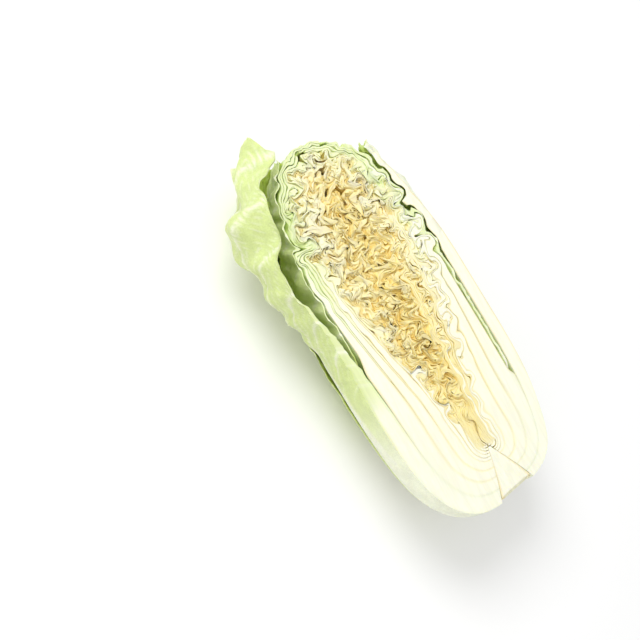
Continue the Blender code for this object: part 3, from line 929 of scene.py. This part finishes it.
class NAPA_OT_core(bpy.types.Operator):
    """Make the cut core"""

    bl_idname = "napa.core"
    bl_label = "Core"

    def execute(self, context):
        azimuth = np.linspace(LEFT_CUT, RIGHT_CUT, CORE_GRID[1])
        rings = core_rings(np.linspace(CORE_SCALES[0], 0.99, CORE_GRID[0]), azimuth, 0.985, 0.0002)
        butt = rings[-1]
        centre = butt.mean(axis=0)
        centre[2] = 0.0
        caps = []
        for share in (0.25, 0.5, 0.75, 1.0):
            ring = blend(butt, centre, share * (1.0 - BUTT_SHRINK))
            ring[:, 1] += 0.0024 + 0.0008 * share
            caps.append(ring)
        # The butt's rim is rounded by drawing in its last rings.
        for back, share in ((1, 0.13), (2, 0.05), (3, 0.015)):
            rings[-back] = blend(rings[-back], rings[-back].mean(axis=0) * (1.0, 1.0, 0.0), share)
        rings[-1][:, 1] += 0.0014
        rings[-2][:, 1] += 0.0003
        outer = np.concatenate([rings, np.stack(caps)])
        outer[:, (0, -1), 2] = 0.0
        face = outer.copy()
        reach = np.linspace(0.0, 1.0, len(azimuth))[:, None]
        for ring in face:
            ring[:] = blend(ring[0], ring[-1], reach)
        tint = np.broadcast_to(np.array(context.scene.napa_colours.cut_flesh), outer.shape)
        flesh = np.ones(outer.shape[:2])
        rim = np.abs(np.linspace(-1.0, 1.0, len(azimuth)))[None, :] * flesh
        sheet = shape_sheet("core_fine", outer, face, (tint, tint), marks_of(flesh, rim), ())
        edit_whole_mesh(
            (bpy.ops.mesh.remove_doubles, {"threshold": MERGE_DISTANCE}),
            (bpy.ops.mesh.normals_make_consistent, {"inside": False}),
        )
        turn_outward(sheet)
        finish_piece(dress(sheet, (shared_material("core_flesh", core_material),)), "core")
        return {"FINISHED"}


def flare(points, outward, upward):
    """Moves a leaf away from the head's axis and up, by so many metres at each point."""
    away = points * np.array([1.0, 0.0, 1.0])
    away /= np.linalg.norm(away, axis=-1, keepdims=True)
    return points + outward[..., None] * away + upward[..., None] * np.array([0.0, 1.0, 0.0])


def fold_in(outer, inner, edge):
    """Folds a leaf's edge up and over the cut, by edge, 0 to 1. Both faces turn with the fold."""
    inward = -np.sign(outer[..., 0])
    thickness = np.abs(outer[..., 0] - inner[..., 0]) * (edge > 0.0)
    turn = np.arctan2(2.0 * FOLD_REACH * edge, FOLD_RISE)
    for face, depth in ((outer, 0.0), (inner, thickness)):
        face[..., 0] += inward * (FOLD_REACH * edge**2 + depth * (np.cos(turn) - 1.0))
        face[..., 2] += FOLD_RISE * edge - depth * np.sin(turn)


def vein_pattern(along, off_rib, seed):
    """Feather-like side veins that leave the midrib and climb towards the margin, from 0 to 1."""
    draw = np.random.default_rng(seed)
    total = np.zeros_like(along)
    for count, width, strength in ((14.0, 0.085, 1.0), (33.0, 0.11, 0.5)):
        wobble = 0.012 * np.sin(9.0 * off_rib + draw.uniform(0.0, 6.0))
        wobble = wobble + 0.007 * np.sin(40.0 * along + draw.uniform(0.0, 6.0))
        climb = along - 0.21 * np.abs(off_rib) ** 0.75 + wobble
        phase = (climb * count + draw.uniform(0.0, 1.0) + 0.5 * (off_rib > 0.0)) % 1.0
        thin = width * (1.0 - 0.5 * np.clip(np.abs(off_rib), 0.0, 1.0))
        total = np.maximum(total, strength * np.exp(-(((phase - 0.5) / thin) ** 2)))
    return total


def skin_marks(along, off_rib, seed):
    """How much an outer leaf's skin is midrib, and how much vein, each from 0 to 1."""
    reach = blend(0.95, 0.07, smooth(0.05, 0.62, along))
    midrib = 1.0 - smooth(reach, reach + 0.16, np.abs(off_rib))
    midrib = np.maximum(midrib, 1.0 - smooth(0.20, 0.40, along))
    vein = vein_pattern(along, off_rib, seed) * smooth(0.20, 0.36, along)
    return midrib, vein


def skin_tint(scale, midrib, vein):
    tones = bpy.context.scene.napa_colours
    blade = blade_tint(np.maximum(scale, 0.80))
    white = np.array(tones.rib_white)
    return blend(blade, white, np.clip(np.maximum(midrib, 0.95 * vein), 0.0, 1.0)[..., None])


def emboss(outer, inner, puff, vein, midrib):
    """Swells an outer leaf between its veins, and raises its veins and midrib on the outer face."""
    normals = grid_normals((outer + inner) / 2)
    normals *= np.sign(np.median((normals * (outer - inner)).sum(axis=-1)))
    height = bpy.context.scene.napa_shape.vein_height
    shift = puff[..., None] * normals
    raised = (height * np.maximum(vein, 0.9 * midrib))[..., None] * normals
    return outer + shift + raised, inner + shift


def outer_leaf(name, node, parts, midrib_at, seed, cut_columns, floor=None):
    """Finishes an outer leaf. parts are its along, azimuth, end, both scales and both faces."""
    along, azimuth, end, scales, (outer, inner) = parts
    off_rib = (azimuth - midrib_at) / 45.0
    midrib, vein = skin_marks(along, off_rib, seed)
    blade = (1.0 - midrib) * smooth(0.30, 0.50, along)
    puff = 0.0013 * crinkle(along, azimuth, seed + 60) * blade
    margin = smooth(0.09, 0.0, end - along)
    frill = np.sin(0.52 * azimuth + 50.0 * along) + 0.6 * np.sin(1.05 * azimuth - 20.0 * along)
    puff = puff + 0.0019 * margin**2 * frill
    outer, inner = emboss(outer, inner, puff, vein * blade, midrib * smooth(0.15, 0.40, along))
    if floor is not None:
        outer[..., 2] = np.maximum(outer[..., 2], floor)
        inner[..., 2] = np.maximum(inner[..., 2], floor + leaf_thickness())
    tint = [skin_tint(scale, midrib, vein * blade) for scale in scales]
    piece = shape_sheet(name, outer, inner, tint, marks_of(midrib, vein * blade), cut_columns)
    # The outer leaves' inner faces get olive painted shade below the cut.
    return finish_piece(dress(piece, leaf_materials("olive", True)), node)


def layer_faces(layer, along, azimuth, rib, waves, seed, rough):
    """The outer and inner scales of an outer leaf, as its solid has them but with a finer blade."""
    gap = blend(0.0012, 0.014, smooth(0.12, 0.45, along))
    bounds = layer_bounds(along, azimuth)
    outside = bounds[layer] - gap / 2
    room = outside - bounds[layer + 1] - gap / 2
    wave = ruffle(along, azimuth, waves, seed) * smooth(*rough, along)
    blade = leaf_thickness() / HEAD_RADIUS
    if layer == BACK_INNER:
        right = smooth(320.0, 345.0, azimuth)
        crisp = blend(0.50, 0.95, smooth(0.55, 0.70, along)) * right
        crisp = np.maximum(crisp, smooth(2.0, 5.0, from_cut(azimuth)) * right)
        crisp = crisp * (0.75 + 0.25 * crinkle(along, azimuth + 90.0, seed + 9))
        blade = blend(blade, 0.95 * room, crisp)
        wave = blend(wave, crinkle(along, azimuth, seed + 7), 0.8 * right)
    thickness = np.minimum(blend(blade, room, rib), room)
    outer = outside - (room - thickness) * (0.5 + 0.5 * wave)
    return outer, outer - thickness


class NAPA_OT_wrapper_leaves(bpy.types.Operator):
    """Make the two outermost side leaves with their free tops"""

    bl_idname = "napa.wrapper_leaves"
    bl_label = "Wrapper leaves"

    def execute(self, context):
        # Seam, then the top's ends and openings, where the rib thins out, how far the top goes
        # outward and upward, how much of that it comes back in, its fold, its midrib and its seed
        tops = (
            (265.0, LEFT_ENDS, LEFT_OPENS, (0.30, 0.72), 0.022, 0.026, 0.8, 1.0, 222.0, 21),
            (275.0, RIGHT_ENDS, RIGHT_OPENS, (0.62, 1.15), 0.012, 0.002, 0.0, 0.0, 360.0, 24),
        )
        for (side, cut), top in zip(SIDES, tops):
            seam, ends, opens, rib_ends, outward, upward, back, fold, midrib_at, seed = top
            reach = abs(seam - cut)
            turns = np.unique(np.concatenate([np.linspace(0.0, 14.0, 15), np.linspace(14.0, reach, 46)]))
            rows = np.linspace(0.0006, max(ends), WRAPPER_ROWS)
            along, azimuth = np.meshgrid(rows, cut + inward_from(cut) * turns, indexing="ij")
            angle = np.abs(azimuth - cut)
            end = np.interp(angle, TOP_ANGLES, ends)
            end = end + 0.010 * np.sin(0.9 * angle) * np.sin(0.37 * angle + 1.0)
            # Only the part above FREE_FROM is stretched to the uneven end.
            stretched = blend(FREE_FROM, end, (along - FREE_FROM) / (max(ends) - FREE_FROM))
            along = np.where(along > FREE_FROM, stretched, along)
            rib = (1.0 - smooth(15.0, 55.0, angle)) * (1.0 - smooth(*rib_ends, along))
            scales = layer_faces(WRAPPER, along, azimuth, rib, 11.0, seed, (0.40, 0.62))
            opened = np.interp(angle, TOP_ANGLES, opens)
            opened = opened * (1.0 + 0.22 * ruffle(along, azimuth, 9.0, seed + 1))
            bulge = outward * opened * smooth(0.46, 0.74, along) * (1.0 - back * smooth(0.74, end, along))
            lift = upward * opened * smooth(0.58, end, along) ** 1.3
            faces = [flare(crumple(place(scale, along, azimuth)), bulge, lift) for scale in scales]
            edge = fold * (1.0 - smooth(0.0, 14.0, angle)) * smooth(0.58, 0.70, along)
            fold_in(*faces, edge * (1.0 + 0.3 * ruffle(along, azimuth, 8.0, seed + 2)))
            parts = along, azimuth, end, scales, faces
            outer_leaf(f"wrapper_{side}_fine", f"wrapper_leaf_{side}", parts, midrib_at, seed, (0,))
        return {"FINISHED"}


class NAPA_OT_back_leaves(bpy.types.Operator):
    """Make the two whole leaves of the underside"""

    bl_idname = "napa.back_leaves"
    bl_label = "Back leaves"

    def execute(self, context):
        # Widths from the underside in degrees, end, how far the tip goes outward and upward, seed,
        # the columns that are cut, and the height that the leaf doesn't go below
        backs = (
            ("back_leaf_outer", BACK_OUTER, (42.0, 48.0), 0.88, 0.005, 0.012, 11, (), -float(HEAD_ORIGIN[2])),
            ("back_leaf_inner", BACK_INNER, (34.0, 90.0), 0.90, 0.0, 0.0, 12, (0, -1), None),
        )
        for name, layer, spans, end, outward, upward, seed, cut_columns, floor in backs:
            rows, columns = np.linspace(0.002, end, BACK_GRID[0]), np.linspace(-1.0, 1.0, BACK_GRID[1])
            along, across = np.meshgrid(rows, columns, indexing="ij")
            widest = np.where(across < 0.0, LEFT_REACH[1], RIGHT_REACH[1])
            azimuth = UNDERSIDE + across * blend(*spans, smooth(LEFT_REACH[0], widest, along))
            off = np.abs(azimuth - UNDERSIDE)
            rib = (1.0 - smooth(14.0, 48.0, off)) * (1.0 - smooth(0.30, 0.75, along))
            scales = layer_faces(layer, along, azimuth, rib, 10.0, seed, (0.38, 0.60))
            amount = smooth(0.60, end, along) ** 1.3 * (1.0 + 0.25 * ruffle(along, azimuth, 7.0, seed + 1))
            bulge, lift = outward * amount, upward * amount
            faces = [flare(crumple(place(scale, along, azimuth)), bulge, lift) for scale in scales]
            parts = along, azimuth, end, scales, faces
            outer_leaf(f"{name}_fine", name, parts, UNDERSIDE, seed, cut_columns, floor)
        return {"FINISHED"}


def fold_start(leaf):
    """Where a leaf's inner folds start: where its rib thins out, or sooner if the rib leaves room."""
    low, high = leaf.rib
    return max(blend(low, high, 0.13) if leaf.fill > 0.9 else blend(low, high, -0.30), 0.06)


def folded_leaf(name, leaf, draw):
    """A leaf with its inner folds, as one piece."""
    sheets = [make_fold(name, leaf)]
    for fold in range(1, leaf.folds):
        extra = Leaf(**{**leaf.__dict__, "fold": fold, "across": 0})
        extra.start = fold_start(leaf)
        extra.end = leaf.end - draw.uniform(0.0, 0.02)
        extra.seed = leaf.seed + 100 * fold
        extra.seam = leaf.cut + FOLD_TURN * inward_from(leaf.cut)
        sheets.append(make_fold(f"{name}_fold_{fold}", extra))
    return join(name, sheets)


def grow_pair(number, names, ribs, seams, seed, draw, **shared):
    """Makes a left and a right leaf. ribs hold where each rib thins out and how much it fills."""
    for turn, (side, cut) in enumerate(SIDES):
        *rib, fill = ribs[turn]
        leaf = Leaf(cut=cut, seam=seams[turn], rib=tuple(rib), fill=fill, seed=seed + turn, **shared)
        piece_name, node = (name.format(side=side, number=number) for name in names)
        finish_piece(folded_leaf(piece_name, leaf, draw), node)


class NAPA_OT_side_leaves(bpy.types.Operator):
    """Make the halved leaves between the wrappers and the heart"""

    bl_idname = "napa.side_leaves"
    bl_label = "Side leaves"

    def execute(self, context):
        # Number, layer, seam, slide, each side's rib, how packed, and the colour of the painted shade in the
        # depths
        pairs = (
            (2, SIDE_2, 262.0, 0.012, ((0.34, 0.74, 1.0), (0.50, 0.95, 1.0)), 0.9, "moss"),
            (3, SIDE_3, 281.0, -0.010, ((0.28, 0.66, 1.0), (0.42, 0.86, 1.0)), 0.6, "moss"),
            (4, SIDE_4, 259.0, 0.008, ((0.34, 0.72, 1.0), (0.30, 0.66, 1.0)), 0.0, "amber"),
        )
        draw = np.random.default_rng(3)
        for number, layer, seam, slide, ribs, packed, deep in pairs:
            grow_pair(
                number,
                ("{side}_leaf_{number}_fine", "{side}_leaf_{number}"),
                ribs,
                (seam, seam + 3.0),
                27 + 2 * number,
                draw,
                layer=layer,
                slide=slide,
                folds=context.scene.napa_shape.side_folds,
                relief=0.0022,
                deep=deep,
                packed=packed,
                across=9,
            )
        return {"FINISHED"}


class NAPA_OT_heart_leaves(bpy.types.Operator):
    """Make the crumpled yellow heart"""

    bl_idname = "napa.heart_leaves"
    bl_label = "Heart leaves"

    def execute(self, context):
        # Where the left and the right leaf's rib thins out, and how much of its layer it fills
        ribs = (
            ((0.20, 0.55, 0.9), (0.26, 0.76, 0.9)),
            ((0.14, 0.46, 0.9), (0.12, 0.42, 0.9)),
            ((0.08, 0.34, 0.8), (0.28, 0.62, 0.5)),
            ((0.05, 0.24, 0.7), (0.05, 0.24, 0.7)),
            ((0.03, 0.15, 0.7), (0.03, 0.15, 0.7)),
        )
        draw = np.random.default_rng(4)
        for number in range(HEART_LAYERS):
            slide = 0.007 * math.sin(2.4 * number + 1.0)
            seam = UNDERSIDE + (-10.0 if number % 2 else 6.0)
            grow_pair(
                number + 1,
                ("heart_{side}_{number}_fine", "heart_leaf_{side}_{number}"),
                ribs[number],
                (seam - 4.0, seam + 4.0),
                51 + 2 * number,
                draw,
                layer=HEART + number,
                slide=slide,
                rib_width=(15.0, 80.0),
                folds=context.scene.napa_shape.heart_folds,
                rough=(0.10, 0.34),
                waves=19.0,
                relief=0.0027,
                # The heart's depths get amber painted shade.
                deep="amber",
                across=4,
            )
        return {"FINISHED"}


# The camera: from the object towards it, the lean of the head's axis in the picture, and the scale there
CAMERA_SIDE = Vector((-0.57, -0.15, 0.81))
AXIS_IN_VIEW = (-0.463, 0.887)
LENS = 85.0
SENSOR = 36.0
VIEW_WIDTH = 0.441
PICTURE = 640
OBJECT_MIDDLE = Vector((0.0057, -0.0076, 0.0364))
OBJECT_AT = (386, 332)

# Soft lights: name, place, what each points at, size in metres and power in watts
LIGHTS = (
    ("key", (-0.35, 0.8, 1.15), (0.0, 0.0, 0.0), 0.9, 10.0),
    ("fill", (-1.2, -0.4, 0.9), (0.0, 0.0, 0.03), 1.2, 2.5),
)
SKY_STRENGTH = 0.76
FLOOR_SIZE = 6.0


def area_light(name, place_at, target, size, power):
    light = bpy.data.lights.new(name, "AREA")
    light.shape = "DISK"
    light.size = size
    light.energy = power
    lamp = bpy.data.objects.new(name, light)
    bpy.context.scene.collection.objects.link(lamp)
    lamp.location = place_at
    lamp.rotation_euler = (Vector(target) - Vector(place_at)).to_track_quat("-Z", "Y").to_euler()


class NAPA_OT_stage(bpy.types.Operator):
    """Set the floor, the soft light and the camera"""

    bl_idname = "napa.stage"
    bl_label = "Stage"

    def execute(self, context):
        bpy.ops.object.select_all(action="DESELECT")
        bpy.ops.mesh.primitive_plane_add(size=FLOOR_SIZE, location=(0.0, 0.0, 0.0))
        floor = context.object
        floor.name = "floor"
        material = bpy.data.materials.new("floor")
        material.use_nodes = True
        tree = material.node_tree
        shader = tree.nodes["Principled BSDF"]
        shader.inputs["Roughness"].default_value = 0.6
        tone = context.scene.napa_colours.floor
        shade = ramp(tree, noise(tree, 3.0), 0.2, 0.8, 0.985, 1.0)
        tree.links.new(mix_colour(tree, 1.0, tuple(tone), shade, "MULTIPLY"), shader.inputs["Base Color"])
        floor.data.materials.append(material)

        world = bpy.data.worlds.new("studio")
        context.scene.world = world
        world.use_nodes = True
        sky = world.node_tree.nodes["Background"]
        sky.inputs["Color"].default_value = (1.0, 1.0, 1.0, 1.0)
        sky.inputs["Strength"].default_value = SKY_STRENGTH
        for light in LIGHTS:
            area_light(*light)
        context.scene.view_settings.view_transform = "Standard"

        towards = CAMERA_SIDE.normalized()
        axis = Vector((0.0, 1.0, 0.0))
        axis = (axis - axis.dot(towards) * towards).normalized()
        level = axis.cross(towards)
        up = AXIS_IN_VIEW[1] * axis - AXIS_IN_VIEW[0] * level
        right = AXIS_IN_VIEW[1] * level + AXIS_IN_VIEW[0] * axis
        scale = VIEW_WIDTH / PICTURE
        target = OBJECT_MIDDLE - right * (OBJECT_AT[0] - PICTURE / 2) * scale
        target = target + up * (OBJECT_AT[1] - PICTURE / 2) * scale
        distance = VIEW_WIDTH / 2 / (SENSOR / 2 / LENS)
        data = bpy.data.cameras.new("camera")
        data.lens = LENS
        data.sensor_width = SENSOR
        camera = bpy.data.objects.new("camera", data)
        context.scene.collection.objects.link(camera)
        turn = Matrix((right, up, towards)).transposed()
        camera.matrix_world = Matrix.Translation(target + towards * distance) @ turn.to_4x4()
        context.scene.camera = camera
        return {"FINISHED"}


class NAPA_PT_panel(bpy.types.Panel):
    """Lists the pieces in the sidebar"""

    bl_idname = "NAPA_PT_panel"
    bl_label = "Halved Napa Cabbage"
    bl_space_type = "VIEW_3D"
    bl_region_type = "UI"
    bl_category = "Napa"

    def draw(self, context):
        layout = self.layout
        for group in (context.scene.napa_shape, context.scene.napa_colours):
            for name in group.__annotations__:
                layout.prop(group, name)
        for operator in OPERATORS:
            layout.operator(operator.bl_idname)


OPERATORS = (
    NAPA_OT_core,
    NAPA_OT_back_leaves,
    NAPA_OT_wrapper_leaves,
    NAPA_OT_side_leaves,
    NAPA_OT_heart_leaves,
    NAPA_OT_stage,
)
CLASSES = (NapaShape, NapaColours, *OPERATORS, NAPA_PT_panel)


def register():
    for item in CLASSES:
        bpy.utils.register_class(item)
    bpy.types.Scene.napa_shape = PointerProperty(type=NapaShape)
    bpy.types.Scene.napa_colours = PointerProperty(type=NapaColours)


def unregister():
    del bpy.types.Scene.napa_colours
    del bpy.types.Scene.napa_shape
    for item in reversed(CLASSES):
        bpy.utils.unregister_class(item)


def main():
    register()
    bpy.ops.napa.core()
    bpy.ops.napa.back_leaves()
    bpy.ops.napa.wrapper_leaves()
    bpy.ops.napa.side_leaves()
    bpy.ops.napa.heart_leaves()
    bpy.ops.napa.stage()


if __name__ == "__main__":
    main()
